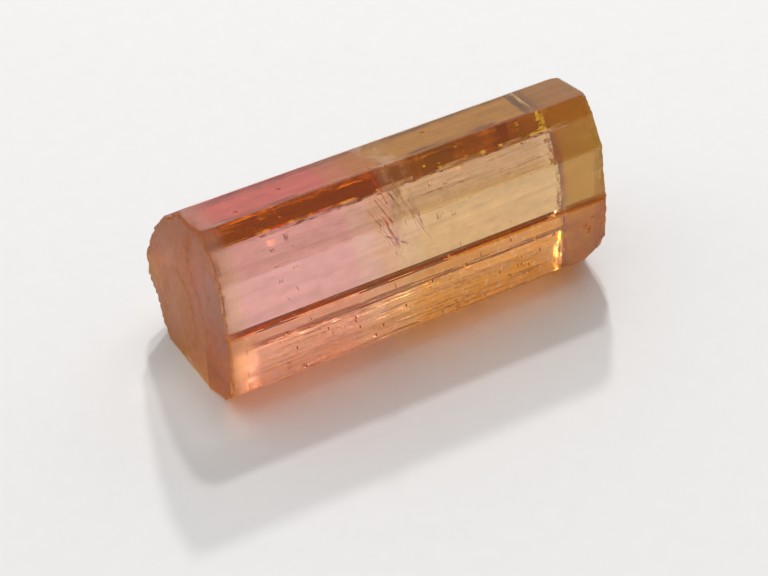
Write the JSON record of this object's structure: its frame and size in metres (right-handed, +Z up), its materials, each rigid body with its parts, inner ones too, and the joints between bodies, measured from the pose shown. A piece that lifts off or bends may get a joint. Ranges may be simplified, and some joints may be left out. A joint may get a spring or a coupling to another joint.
{
  "type": "tourmaline crystal",
  "caption": "Rough bicolour tourmaline prism, clear pink at one end and golden at the other, lying on a broad face, with striated sides and worn broken ends.",
  "frame": {"origin": "centre of the bounding box in plan, on the plane the crystal rests on", "axes": "+X along the crystal axis from the pink end to the golden end, +Z up, -Y toward the face that the picture shows"},
  "size_m": [0.02, 0.0082, 0.0089],
  "materials": {
    "tourmaline": "clear natural tourmaline, pink shading to gold along the crystal axis, glossy striated faces with worn edges"
  },
  "bodies": {
    "root": {"tourmaline_crystal": "tourmaline"}
  },
  "joints": []
}
